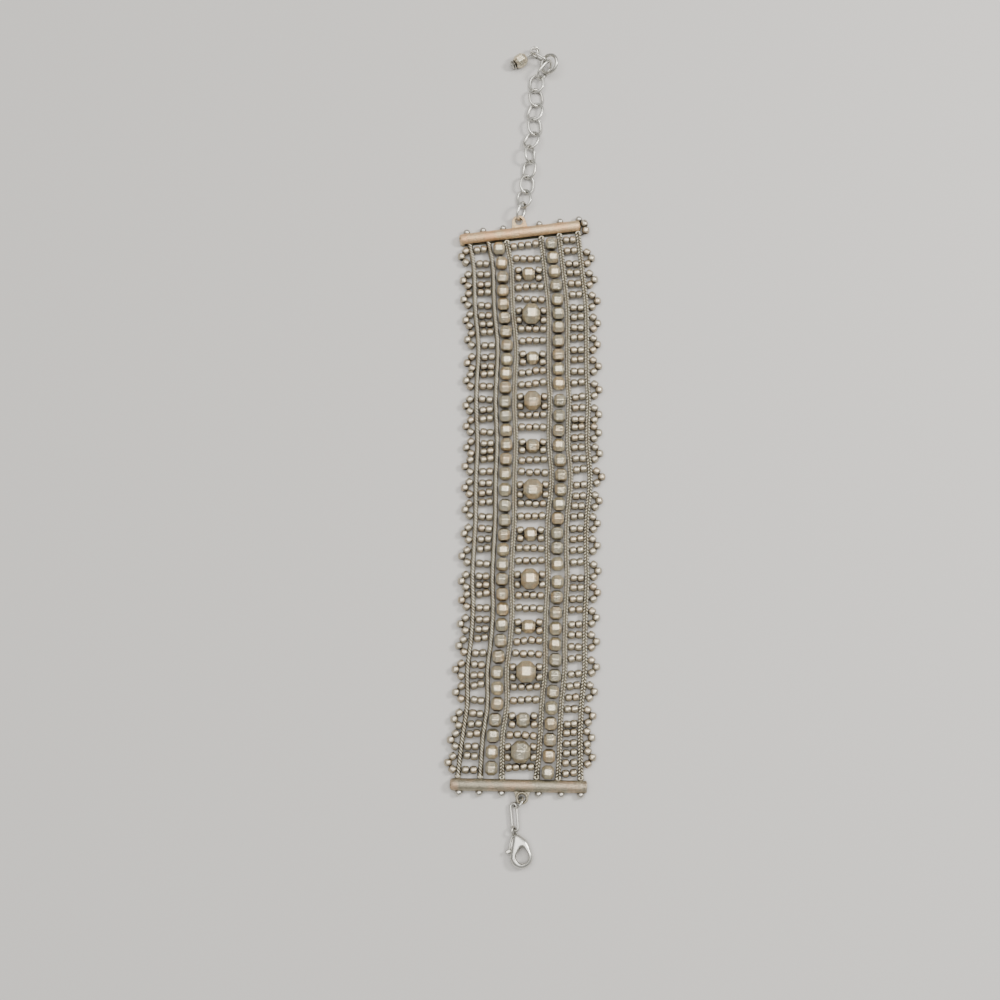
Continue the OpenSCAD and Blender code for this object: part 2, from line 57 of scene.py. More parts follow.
def set_stage():
    camera = bpy.data.objects.new("camera", bpy.data.cameras.new("camera"))
    camera.data.lens = 54
    camera.data.sensor_width = 36
    camera.data.clip_start = 0.01
    camera.location = (Vector((CAMERA_X, -CAMERA_BACK, CAMERA_HEIGHT)) + SHIFT) * MM
    camera.rotation_euler = (math.atan2(CAMERA_BACK, CAMERA_HEIGHT), 0, 0)
    bpy.context.scene.collection.objects.link(camera)
    bpy.context.scene.camera = camera

    bm = bmesh.new()
    bmesh.ops.create_grid(bm, x_segments=1, y_segments=1, size=3)
    mesh = bpy.data.meshes.new("floor")
    bm.to_mesh(mesh)
    bm.free()
    floor = bpy.data.objects.new("floor", mesh)
    bpy.context.scene.collection.objects.link(floor)
    paper = bpy.data.materials.new("pale_paper")
    paper.use_nodes = True
    shader = paper.node_tree.nodes["Principled BSDF"]
    shader.inputs["Base Color"].default_value = (0.80, 0.79, 0.77, 1)
    shader.inputs["Roughness"].default_value = 0.85
    mesh.materials.append(paper)

    world = bpy.data.worlds.new("studio")
    world.use_nodes = True
    world.node_tree.nodes["Background"].inputs["Color"].default_value = (0.63, 0.62, 0.60, 1)
    world.node_tree.nodes["Background"].inputs["Strength"].default_value = 0.45
    bpy.context.scene.world = world
    # A wide soft lamp from above that lights the whole floor alike, and a small window from the right.
    # Columns: name, kind, place in metres, power, colour
    lamps = (
        ("overhead", "SUN", (-0.08, 0.08, 0.75), 2.05, (1.0, 0.97, 0.93)),
        ("window", "AREA", (0.46, 0.12, 0.50), 2.6, (1.0, 0.97, 0.93)),
    )
    for name, kind, place, power, tint in lamps:
        lamp = bpy.data.objects.new(name, bpy.data.lights.new(name, kind))
        if kind == "SUN":
            lamp.data.angle = math.radians(62)
        else:
            lamp.data.size = 0.15
        lamp.data.energy = power
        lamp.data.color = tint
        lamp.location = place
        lamp.rotation_euler = (-Vector(place)).to_track_quat("-Z", "Y").to_euler()
        bpy.context.scene.collection.objects.link(lamp)


# Metals

def silver(name, light, warm, dark, rough, grain=0.0, grain_size=0.35,
           crevice_shade=0.9, patch=2.2, vary=1.6, speckle=0.0):
    """Plated metal. Colour drifts from light to warm in patches, goes dark with painted shade in its hollows
    and where parts close in, and dark in its real specks.
    """
    material = bpy.data.materials.new(name)
    material.use_nodes = True
    nodes, links = material.node_tree.nodes, material.node_tree.links
    shader = nodes["Principled BSDF"]
    shader.inputs["Metallic"].default_value = 1.0

    def node(kind, **values):
        made = nodes.new(kind)
        for key, value in values.items():
            setattr(made, key, value)
        return made

    def math_node(operation, a, b, clamp=False):
        made = node("ShaderNodeMath", operation=operation, use_clamp=clamp)
        for socket, value in zip(made.inputs, (a, b)):
            if isinstance(value, (int, float)):
                socket.default_value = value
            else:
                links.new(value, socket)
        return made.outputs[0]

    def mix(share, a, b):
        made = node("ShaderNodeMix", data_type="RGBA")
        links.new(share, made.inputs[0])
        for socket, value in ((made.inputs[6], a), (made.inputs[7], b)):
            if isinstance(value, tuple):
                socket.default_value = value + (1,)
            else:
                links.new(value, socket)
        return made.outputs[2]

    place = node("ShaderNodeTexCoord").outputs["Object"]
    patches = node("ShaderNodeTexNoise")
    patches.inputs["Scale"].default_value = 1000 / patch
    patches.inputs["Detail"].default_value = 3
    links.new(place, patches.inputs["Vector"])
    tone = node("ShaderNodeAttribute", attribute_name="tone").outputs["Fac"]
    # This attribute holds painted shade marked on the mesh: bores, slots, stitch grooves, threads, cord
    # cores, and sides facing away from up.
    painted_shade = node("ShaderNodeAttribute", attribute_name="painted_shade").outputs["Fac"]
    drift = math_node("ADD", math_node("MULTIPLY", patches.outputs["Fac"], vary), 0.05 - vary / 2)
    share = math_node("ADD", drift, tone, clamp=True)
    colour = mix(share, light, warm)
    # Ambient occlusion darkens the colour where parts close in: painted shade in crevices and between parts.
    shade = node("ShaderNodeAmbientOcclusion", samples=6)
    shade.inputs["Distance"].default_value = 1.1 * MM
    closed = math_node("MULTIPLY", math_node("SUBTRACT", 1.0, shade.outputs["AO"]), crevice_shade)
    all_painted_shade = math_node("ADD", closed, painted_shade)
    patchy_painted_shade = math_node("MULTIPLY", all_painted_shade, math_node("ADD", patches.outputs["Fac"], 0.55))
    pits = node("ShaderNodeTexNoise")
    pits.inputs["Scale"].default_value = 1000 / grain_size
    pits.inputs["Detail"].default_value = 4
    pits.inputs["Roughness"].default_value = 0.6
    links.new(place, pits.inputs["Vector"])
    specks = math_node("MULTIPLY", math_node("SUBTRACT", 0.5, pits.outputs["Fac"]), speckle)
    # The patchy painted shade is added to real dark specks from the pits, then mixed towards the dark colour.
    shade_and_specks = math_node("ADD", patchy_painted_shade, specks, clamp=True)
    links.new(mix(shade_and_specks, colour, dark), shader.inputs["Base Color"])
    low, high = rough
    wear = math_node("MULTIPLY", patches.outputs["Fac"], high - low)
    worn = math_node("ADD", wear, low)
    dulled = math_node("ADD", worn, math_node("MULTIPLY", shade_and_specks, 0.25))
    links.new(dulled, shader.inputs["Roughness"])
    bump = node("ShaderNodeBump")
    bump.inputs["Strength"].default_value = grain
    bump.inputs["Distance"].default_value = 0.2 * MM
    links.new(pits.outputs["Fac"], bump.inputs["Height"])
    links.new(bump.outputs[0], shader.inputs["Normal"])
    return material


SEED_SILVER = silver("seed_silver", (0.79, 0.72, 0.57), (0.80, 0.62, 0.42), (0.06, 0.045, 0.03), (0.24, 0.42),
                     grain=0.5, grain_size=0.55, speckle=0.5)
# The cut beads' warm patches and warm per-bead tones are partly their own plating colour and partly painted
# warm reflections on the facets.
CUT_SILVER = silver("cut_silver", (0.84, 0.79, 0.62), (1.0, 0.79, 0.52), (0.10, 0.09, 0.08), (0.20, 0.40),
                    grain=0.9, grain_size=0.6, crevice_shade=0.75, patch=2.0, vary=2.6, speckle=0.8)
CORD_SILVER = silver("cord_silver", (1.0, 0.95, 0.77), (1.0, 0.82, 0.58), (0.08, 0.065, 0.045), (0.26, 0.42))
PEACH_SILVER = silver("peach_silver", (0.96, 0.75, 0.47), (1.0, 0.62, 0.35), (0.13, 0.13, 0.09), (0.40, 0.58),
                      grain=1.0, grain_size=0.5, patch=4.0, vary=3.0, speckle=1.3)
CAST_SILVER = silver("cast_silver", (0.48, 0.44, 0.34), (0.78, 0.54, 0.36), (0.12, 0.11, 0.08), (0.38, 0.56),
                     grain=1.0, grain_size=0.5, patch=4.0, vary=2.4, speckle=1.3)
BRIGHT_SILVER = silver("bright_silver", (0.84, 0.84, 0.79), (0.70, 0.65, 0.56), (0.07, 0.06, 0.05),
                       (0.22, 0.36), grain=0.15, grain_size=1.2, crevice_shade=0.8, speckle=0.3)


# Making and joining shapes

def mesh_of(bm, name="shape"):
    mesh = bpy.data.meshes.new(name)
    bm.to_mesh(mesh)
    bm.free()
    return mesh


def evaluated_mesh(obj):
    bpy.context.view_layer.update()
    got = obj.evaluated_get(bpy.context.evaluated_depsgraph_get())
    return bpy.data.meshes.new_from_object(got)


def outward(bm):
    bmesh.ops.remove_doubles(bm, verts=bm.verts, dist=1e-4)
    bmesh.ops.recalc_face_normals(bm, faces=bm.faces)


def turned(profile, steps, hollow_radius=0.0, bevel=0.0):
    """A body turned about X from a closed side view of (x, radius) points. Its bore gets painted shade."""
    bm = bmesh.new()
    verts = [bm.verts.new((x, 0, r)) for x, r in profile]
    edges = [bm.edges.new((a, b)) for a, b in zip(verts, verts[1:] + verts[:1])]
    bmesh.ops.spin(bm, geom=verts + edges, cent=(0, 0, 0), axis=(1, 0, 0),
                   angle=2 * math.pi, steps=steps, use_merge=True)
    outward(bm)
    bmesh.ops.rotate(bm, verts=bm.verts, cent=(0, 0, 0), matrix=Matrix.Rotation(math.pi / steps, 3, "X"))
    if bevel:
        rim = [e for e in bm.edges if all(math.hypot(v.co.y, v.co.z) > hollow_radius for v in e.verts)]
        bmesh.ops.bevel(bm, geom=rim, offset=bevel, segments=1, profile=0.5, affect="EDGES", material=-1)
    for face in bm.faces:
        face.smooth = not bevel
    mesh = mesh_of(bm)
    mark_painted_shade(mesh, lambda co: 1.0 if math.hypot(co.y, co.z) < hollow_radius else 0.0)
    return mesh


# Marks painted shade on a mesh's points, by a function of their place.
def mark_painted_shade(mesh, depth):
    layer = mesh.attributes.new("painted_shade", "FLOAT", "POINT")
    layer.data.foreach_set("value", [depth(v.co) for v in mesh.vertices])


def wire(points, radius, closed=False, corners=3):
    """Round wire through a list of points."""
    curve = bpy.data.curves.new("wire", "CURVE")
    curve.dimensions = "3D"
    curve.bevel_depth = radius
    curve.bevel_resolution = corners
    curve.use_fill_caps = not closed
    spline = curve.splines.new("POLY")
    spline.points.add(len(points) - 1)
    for point, co in zip(spline.points, points):
        point.co = (*co, 1)
    spline.use_cyclic_u = closed
    obj = bpy.data.objects.new("wire", curve)
    bpy.context.scene.collection.objects.link(obj)
    mesh = evaluated_mesh(obj)
    bpy.data.objects.remove(obj)
    bpy.data.curves.remove(curve)
    bm = bmesh.new()
    bm.from_mesh(mesh)
    bpy.data.meshes.remove(mesh)
    outward(bm)
    for face in bm.faces:
        face.smooth = len(face.verts) == 4
    return mesh_of(bm)


class Join:
    """Gathers copies of shapes into one mesh, each copy with a tone of its own."""

    def __init__(self):
        self.bm, self.tones, self.painted_shades = bmesh.new(), [], []

    def add(self, shape, matrix=None, tone=0.0, depth=0.0):
        copy = shape.copy()
        if matrix is not None:
            copy.transform(matrix)
        self.bm.from_mesh(copy)
        count = len(copy.vertices)
        self.tones.append(np.full(count, tone))
        layer = copy.attributes.get("painted_shade")
        shade_depths = np.zeros(count)
        if layer:
            layer.data.foreach_get("value", shade_depths)
        self.painted_shades.append(shade_depths + depth)
        bpy.data.meshes.remove(copy)

    def finish(self, name, material, nodes, body="bracelet", crease=None, painted_side_shade=0.3):
        """Makes the object. Its sides and underside get painted shade, up to the given amount where they face
        sideways or down; its top gets none.
        """
        to_frame = Matrix.Scale(MM, 4) @ Matrix.Translation(SHIFT)
        bmesh.ops.transform(self.bm, matrix=to_frame, verts=self.bm.verts)
        mesh = mesh_of(self.bm, name)
        normals = np.zeros(len(mesh.vertices) * 3)
        mesh.vertex_normals.foreach_get("vector", normals)
        # Painted shade on the sides and underside, stronger the further a face turns from up.
        sides = painted_side_shade * (1 - np.clip(normals.reshape(-1, 3)[:, 2], 0, 1)) ** 1.3
        tones, painted_shades = np.concatenate(self.tones), np.concatenate(self.painted_shades) + sides
        for label, values in (("tone", tones), ("painted_shade", painted_shades)):
            layer = mesh.attributes.get(label) or mesh.attributes.new(label, "FLOAT", "POINT")
            layer.data.foreach_set("value", values.astype(np.float32))
        if crease is not None:
            mesh.set_sharp_from_angle(angle=math.radians(crease))
        mesh.materials.append(material)
        obj = bpy.data.objects.new(name, mesh)
        bpy.context.scene.collection.objects.link(obj)
        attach(obj, body)
        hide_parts(*nodes)
        return obj


def facing(place, along, up=UP):
    """Places a shape made along X so that it runs along a direction, with its Z as near up as it can be."""
    x = Vector(along).normalized()
    y = Vector(up).cross(x).normalized()
    z = x.cross(y)
    turn = Matrix((x, y, z)).transposed().to_4x4()
    return Matrix.Translation(place) @ turn


# The cords' course, as in the part's source. Columns: distance along, third cord, fourth cord
SWAY = (
    (76.2, -5.0, 5.2), (68.5, -3.7, 6.0), (56.3, -3.3, 7.1), (44.2, -2.3, 7.1),
    (34.6, -2.7, 7.1), (28.4, -2.9, 7.4), (22.2, -2.7, 7.1), (16.0, -2.5, 7.0),
    (5.5, -2.9, 7.6), (-6.3, -3.0, 6.5), (-15.5, -3.5, 6.3), (-22.9, -3.8, 6.4),
    (-31.3, -3.6, 5.9), (-40.3, -4.2, 5.6), (-48.0, -5.1, 5.5), (-57.7, -5.1, 4.5),
    (-66.4, -6.3, 4.0), (-76.9, -6.5, 3.0),
)
CORD_LIFT = (1.5, 1.9, 2.0, 2.0, 1.9, 1.5)
CORD_D = 1.6
COLUMN_GAP = 5.35
SIDE_GAP = 5.55
BAR_LEN, BAR_W = 37.3, 3.4
TOP_BAR_AT, TOP_BAR_TURN = Vector((-0.3, 79.4, 0)), math.radians(7.1)
BOTTOM_BAR_AT, BOTTOM_BAR_TURN = Vector((-2.0, -79.5, 0)), math.radians(-1.2)
CORD_IN_SLOT = 1.5
SLOT_Z = 1.3


def sway(y, column):
    last = len(SWAY) - 1
    k = 0
    while k < last - 1 and y <= SWAY[k + 1][0]:
        k += 1
    t = (SWAY[k][0] - y) / (SWAY[k][0] - SWAY[k + 1][0])
    value = lambda i: SWAY[i][column]
    if t < 0 or t > 1:
        return value(k) + t * (value(k + 1) - value(k))
    a = value(k - 1) if k else 2 * value(0) - value(1)
    b, c = value(k), value(k + 1)
    d = value(k + 2) if k + 2 <= last else 2 * value(last) - value(last - 1)
    return b + t * (c - a + t * (2 * a - 5 * b + 4 * c - d + t * (3 * b - a - 3 * c + d))) / 2


def cord_x(i, y):
    spread = 1 + 0.1 * max(0, -y - 66) / 11
    reach = (COLUMN_GAP + SIDE_GAP, COLUMN_GAP, 0)
    return sway(y, 1) - spread * reach[i] if i < 3 else sway(y, 2) + spread * reach[5 - i]


def bar_y(at, turn, x):
    return at.y + (x - at.x) * math.tan(turn)


def cord_ends(i):
    top = bar_y(TOP_BAR_AT, TOP_BAR_TURN, cord_x(i, 77)) - BAR_W / 2 + CORD_IN_SLOT
    bottom = bar_y(BOTTOM_BAR_AT, BOTTOM_BAR_TURN, cord_x(i, -77)) + BAR_W / 2 - CORD_IN_SLOT
    return top, bottom


def ease(t):
    t = min(1, max(0, t))
    return t * t * (3 - 2 * t)


def cord_point(i, y):
    top, bottom = cord_ends(i)
    lift = ease((min(top - y, y - bottom) - 2) / 5)
    return Vector((cord_x(i, y), y, SLOT_Z + (CORD_LIFT[i] - SLOT_Z) * lift))


def wobble(i, k):
    return math.sin(math.radians(i * 137.5 + k * 73))


# Where rows and beads have slid along their cords from even spacing.
# Columns: number from the top, slide towards +Y
LEFT_ROW_SLIDE = (
    (0, 0.0), (3, -0.5), (6, 0.0), (9, 0.5), (11, 0.1), (13, 1.0), (15, 0.0), (18, 0.3),
    (21, 1.5), (24, 1.3), (27, 0.95), (30, 0.3), (32, 0.8), (38, 1.1), (41, 0.8), (43, 0.3),
    (44, 0.35), (46, 1.7), (47, 0.7),
)
RIGHT_ROW_SLIDE = (
    (0, 0.0), (8, -0.7), (10, -0.2), (12, -0.6), (16, -1.8), (18, -0.1), (21, -0.2), (23, -1.3),
    (26, -0.4), (28, -0.5), (30, -1.3), (33, -1.1), (38, -1.8), (39, -2.4), (42, -2.5), (45, -1.4),
    (46, 0.0), (47, 0.0),
)
LEFT_CUT_SLIDE = (
    (0, -0.3), (2, -0.5), (4, -0.1), (9, 0.5), (16, 1.0), (18, 0.3), (25, 0.9), (28, 0.5), (35, 0.1),
)
RIGHT_CUT_SLIDE = (
    (0, -0.3), (4, 0.0), (9, 0.85), (10, 0.9), (11, 0.2), (12, 0.0), (16, 0.1), (21, 0.95), (22, 0.8),
    (23, 0.05), (35, -0.15),
)
# One slide for each centre bead. The two rows below a bead share it, but those below the eighth stay behind
CENTRE_SLIDE = (0.1, 0.35, 0.4, 0.4, 0.1, 0.35, 0.4, 0.4, 0.1, 0.3, 0.0, 0.0)


def slid(i, slide):
    return float(np.interp(i, *zip(*slide)))


LEFT_ROW_TOP, LEFT_PITCH = 74.1, 3.18
LEFT_NUDGE = (0, -1.0, -1.1, -0.6)
RIGHT_ROW_TOP, RIGHT_PITCH = 77.0, 3.257
RIGHT_NUDGE = (0, 0.17, -0.56, 0)
CENTRE_TOP, CENTRE_PITCH, LAST_CENTRE_Y = 66.4, 12.83, -70.5


def left_row_y(i):
    return LEFT_ROW_TOP - LEFT_PITCH * i + LEFT_NUDGE[i % 4] + slid(i, LEFT_ROW_SLIDE)


def right_row_y(i):
    return RIGHT_ROW_TOP - RIGHT_PITCH * i + RIGHT_NUDGE[i % 4] + slid(i, RIGHT_ROW_SLIDE)


def centre_y(k):
    return CENTRE_TOP - CENTRE_PITCH * k if k < 11 else LAST_CENTRE_Y


SIDE_ROWS = 48
ROWS_STAY_UNDER = 7
# Two rows follow each centre bead at these distances
ROW_AFTER = (4.0, 7.6)
TOP_ROWS, BOTTOM_ROW = [75.5, 71.2], -74.5
ROWS_UNDER_BEAD = [centre_y(k) + (0.0 if k == ROWS_STAY_UNDER else CENTRE_SLIDE[k]) - d
                   for k in range(10) for d in ROW_AFTER]
CENTRE_ROWS = TOP_ROWS + ROWS_UNDER_BEAD + [centre_y(10) - ROW_AFTER[0], BOTTOM_ROW]


# Cords: the two on the left are twisted, the rest are two plies of fine stitches laid opposite ways

TWISTED = (0, 1)
STITCH = 0.86
PLY_OFF = 0.36
SLANT = math.radians(40)
LOOP_REACH = 0.45
# How far the six cords' looped ends go into the slots of the top and bottom bars
TOP_LOOP_IN = (1.0, 1.0, 0.1, 0.15, 0.3, 0.3)
BOTTOM_LOOP_IN = (0.15, 0.2, 0.3, 0.1, 0.3, 0.1)


def stitch_shape(half_length, half_width, half_height, edge_shade):
    bm = bmesh.new()
    bmesh.ops.create_uvsphere(bm, u_segments=6, v_segments=4, radius=1)
    bmesh.ops.rotate(bm, verts=bm.verts, cent=(0, 0, 0), matrix=Matrix.Rotation(math.pi / 2, 3, "Y"))
    bmesh.ops.scale(bm, vec=(half_length, half_width, half_height), verts=bm.verts)
    for face in bm.faces:
        face.smooth = True
    mesh = mesh_of(bm)

    # Painted shade at the stitch's tips and along its edges, where it dips into the grooves between stitches.
    def groove_shade(co):
        at_tip = max(0.0, abs(co.x) / half_length - 0.6) * 0.6
        return at_tip + (edge_shade if abs(co.y) > 0.5 * half_width else 0.0)

    mark_painted_shade(mesh, groove_shade)
    return mesh


def loop_ends(i):
    """Where a cord's plies turn back at its top and its bottom."""
    top, bottom = cord_ends(i)
    back = CORD_IN_SLOT + LOOP_REACH + 0.25
    return top - back + TOP_LOOP_IN[i], bottom + back - BOTTOM_LOOP_IN[i]


def ply_course(i, side):
    """Points along one ply, a stitch apart, that spread a little at both ends."""
    top, bottom = loop_ends(i)
    steps = round((top - bottom) / STITCH)
    points = []
    for k in range(steps + 1):
        y = top + (bottom - top) * k / steps
        at = cord_point(i, y)
        across = (cord_point(i, y - 0.1) - at).normalized().cross(UP).normalized()
        off = PLY_OFF + 0.12 * ease(1 - min(top - y, y - bottom) / 2.2)
        points.append(at - across * side * off)
    return points


def lay_cord(i, stitch, strand):
    cord = Join()
    plies = [ply_course(i, side) for side in (-1, 1)]
    if i in TWISTED:
        courses = [(1, [(p + q) / 2 for p, q in zip(*plies)], strand)]
    else:
        courses = [(side, points, stitch) for side, points in zip((-1, 1), plies)]
    for side, points, shape in courses:
        for k, at in enumerate(points):
            after = points[min(k + 1, len(points) - 1)]
            along = after - points[max(k - 1, 0)]
            if side > 0:
                at = (at + after) / 2
            turn = Matrix.Rotation(side * SLANT, 4, "Z")
            cord.add(shape, facing(at, along) @ turn, 0.12 * wobble(k, i) + 0.1 * math.sin(k * 0.21 + i))
    for points in plies:
        # A dark wire along each ply's course: painted shade in the gaps of the cord.
        cord.add(wire([tuple(p) for p in points[::4] + points[-1:]], 0.32, corners=1), tone=0.3, depth=1.0)
    for end, slot_end, up_down in ((0, cord_ends(i)[0], 1), (-1, cord_ends(i)[1], -1)):
        first, last = plies[0][end], plies[1][end]
        middle, reach = (first + last) / 2, (last - first) / 2
        for k in range(5):
            a = math.pi * (k + 0.5) / 5
            at = middle - reach * math.cos(a) + Vector((0, up_down * LOOP_REACH * math.sin(a), 0))
            along = reach * math.sin(a) + Vector((0, up_down * LOOP_REACH * math.cos(a), 0))
            cord.add(stitch, facing(at, along) @ Matrix.Rotation(SLANT / 2, 4, "Z"), 0.1)
        held = Vector((middle.x, slot_end - up_down * 0.1, SLOT_Z))
        # The wire that runs into the slot is dark: painted shade inside the slot.
        cord.add(wire([tuple(middle), tuple(held)], 0.35, corners=1), tone=0.3, depth=0.8)
    cord.finish("twisted_cord_%d" % (i + 1), CORD_SILVER, ["cord_%d" % (i + 1)], painted_side_shade=0.15)


# Seed beads, drawn up in rows and edge loops on a thread

SEED_PROFILE = ((-0.80, 0.32), (-0.98, 0.56), (-0.86, 0.88), (-0.42, 1.1),
                (0.42, 1.1), (0.86, 0.88), (0.98, 0.56), (0.80, 0.32))
THREAD_D = 0.36


def seed_tone():
    return dice.uniform(-0.25, 0.35)


def add_thread(join, points):
    # The thread is drawn dark: painted shade in the gaps between beads and cords.
    join.add(wire([tuple(p) for p in points], THREAD_D / 2, corners=1), tone=0.6, depth=0.9)


def seed_row(join, seed, a, b, count, slant):
    """Seed beads shared out between two cords, the far ones raised along the bracelet by the slant."""
    edge = CORD_D / 2 + 0.05
    start, end = a + Vector((edge, 0, 0)), b - Vector((edge, 0, 0))
    add_thread(join, [a, start + Vector((0, -slant / 2, 0)), end + Vector((0, slant / 2, 0)), b])
    for k in range(count):
        share = (k + 0.5) / count
        at = start.lerp(end, share) + Vector((0, slant * (share - 0.5), 0))
        at += Vector((0.06 * dice.uniform(-1, 1), 0.14 * dice.uniform(-1, 1), 0.08 * dice.uniform(-1, 1)))
        along = Vector((1, slant / 5 + 0.25 * dice.uniform(-1, 1), 0.1 * dice.uniform(-1, 1)))
        size = 1 + 0.03 * dice.uniform(-1, 1)
        join.add(seed, facing(at, along) @ Matrix.Scale(size, 4), seed_tone())


LEFT_SLANT = (0.7, -0.6, -0.4, 0.2)
RIGHT_SLANT = (0.2, 0.7, 0.6, 0.6)


def lay_side_rows(seed):
    for name, cords, row_y, slants in (
        ("left_seed_rows", (0, 1), left_row_y, LEFT_SLANT),
        ("right_seed_rows", (4, 5), right_row_y, RIGHT_SLANT),
    ):
        rows = Join()
        for i in range(SIDE_ROWS):
            y = row_y(i)
            seed_row(rows, seed, cord_point(cords[0], y), cord_point(cords[1], y), 2, slants[i % 4] * 0.6)
        rows.finish("strung_" + name, SEED_SILVER, [name], painted_side_shade=0.6)


# How much higher each centre row's right end is than its left, where it can be seen; the rest waver
CENTRE_SLANT = {0: 0.8, 1: 0.2, 2: 0.4, 3: -0.7, 4: 0.1, 5: 0.0, 6: 1.0, 7: 1.2}


def lay_centre_rows(seed):
    rows = Join()
    for i, y in enumerate(CENTRE_ROWS):
        slant = CENTRE_SLANT.get(i, 0.4 * wobble(i, 2))
        seed_row(rows, seed, cord_point(2, y), cord_point(3, y), 4, slant)
    rows.finish("strung_centre_seed_rows", SEED_SILVER, ["centre_seed_rows"], painted_side_shade=0.6)


# How far a loop's leg beads and tip bead stand out from the cord, and a leg from the loop's middle
LOOP_LEG, LOOP_TIP, LOOP_HALF = 1.85, 3.15, 1.72
LOOP_Z = 1.12
# The thread's course round the top bar's right end, with a seed bead at its third and fourth points
BAR_END_WRAP = ((16.1, 78.4, 1.3), (17.2, 78.9, 1.3), (18.05, 80.1, 1.5),
                (17.63, 82.15, 1.6), (16.9, 83.0, 1.3), (15.9, 82.3, 1.2))


def lay_edge_loops(seed):
    for name, cord, row_y, side, first in (
        ("left_edge_loops", 0, left_row_y, -1, 0), ("right_edge_loops", 5, right_row_y, 1, 1),
    ):
        loops = Join()
        for k in range(first, SIDE_ROWS - 1, 2):
            upper, lower = row_y(k), row_y(k + 1)
            middle = (upper + lower) / 2
            x = cord_x(cord, middle)
            jog = 0.12 * dice.uniform(-1, 1)
            tip = Vector((x + side * (LOOP_TIP + 0.15 * dice.uniform(-1, 1)), middle + 2 * jog, LOOP_Z))
            legs = []
            for s in (1, -1):
                out = x + side * (LOOP_LEG + 0.1 * dice.uniform(-1, 1))
                legs.append(Vector((out, middle + s * LOOP_HALF + jog, LOOP_Z + 0.1)))
            roots = [cord_point(cord, middle + s * (LOOP_HALF + 0.25)) for s in (1, -1)]
            past_tip = Vector((0, 0.6, 0))
            add_thread(loops, [roots[0], legs[0], tip + past_tip, tip - past_tip, legs[1], roots[1]])
            for leg, s in zip(legs, (1, -1)):
                loops.add(seed, facing(leg, Vector((side, -s * 0.75, 0))), seed_tone())
            loops.add(seed, facing(tip, Vector((0.15 * dice.uniform(-1, 1), 1, 0))), seed_tone())
        if side == 1:
            wrap = [Vector(p) for p in BAR_END_WRAP]
            add_thread(loops, wrap)
            for k in (2, 3):
                loops.add(seed, facing(wrap[k], wrap[k + 1] - wrap[k - 1]), seed_tone())
        loops.finish("strung_" + name, SEED_SILVER, [name], painted_side_shade=0.6)


# Cut beads

CUT_FACETS = 8


def cut_bead_shape(d, length, flat, end_d, bore=0.9, bevel=0.1):
    r, e = d / 2, end_d / 2
    left = [(-length / 2 + 0.2, bore / 2), (-length / 2, bore / 2 + 0.2), (-length / 2, e), (-flat / 2, r)]
    right = [(flat / 2, r), (length / 2, e), (length / 2, bore / 2 + 0.2), (length / 2 - 0.2, bore / 2)]
    return turned(left + right, CUT_FACETS, bore / 2 + 0.25, bevel)


def large_bead_shape(d, length, bore=0.9, bevel=0.1):
    rings = ((0.25, 0.5), (0.42, 0.33), (0.5, 0.2))
    left = [(-length * x, d * r) for r, x in rings]
    right = [(length * x, d * r) for r, x in reversed(rings)]
    return turned([(-length / 2 + 0.2, bore / 2), (-length / 2, bore / 2 + 0.2)] + left + right
                  + [(length / 2, bore / 2 + 0.2), (length / 2 - 0.2, bore / 2)],
                  CUT_FACETS, bore / 2 + 0.25, bevel)


CUT_D, CUT_LEN = 4.05, 3.3
CUT_Z = CUT_D / 2 + 0.02
COLUMN_BEADS = 36


def lay_cut_columns(cut):
    for name, i, j, ends, slide in (
        ("left_cut_beads", 1, 2, (74.4, -74.9), LEFT_CUT_SLIDE),
        ("right_cut_beads", 3, 4, (76.0, -75.8), RIGHT_CUT_SLIDE),
    ):
        column = Join()
        for k in range(COLUMN_BEADS):
            y = ends[0] + (ends[1] - ends[0]) * k / (COLUMN_BEADS - 1) + slid(k, slide)
            at = Vector(((cord_x(i, y) + cord_x(j, y)) / 2, y, CUT_Z))
            spin = Matrix.Rotation(math.radians(wobble(k, 4 * i + 1) * 22.5), 4, "X")
            lean = Matrix.Rotation(math.radians(4 * dice.uniform(-1, 1)), 4, "Z")
            column.add(cut, Matrix.Translation(at) @ lean @ spin, dice.uniform(-0.3, 0.6))
        column.finish("strung_" + name, CUT_SILVER, [name], painted_side_shade=0.6)


LARGE_D, LARGE_LEN, MIDDLE_D, MIDDLE_LEN = 6.2, 5.3, 4.2, 3.7
# Each centre bead's length and thickness beside its kind's, and its turn on the thread in degrees
CENTRE_MAKE = (
    (0.96, 1.0, 0), (0.96, 1.02, 4), (0.93, 0.98, 10), (0.9, 0.93, 22), (1.0, 1.02, 22), (1.0, 0.97, 15),
    (0.93, 1.02, 3), (0.93, 1.0, 0), (1.0, 0.98, 6), (1.0, 1.03, 0), (0.96, 1.04, 22), (0.99, 0.99, 20),
)


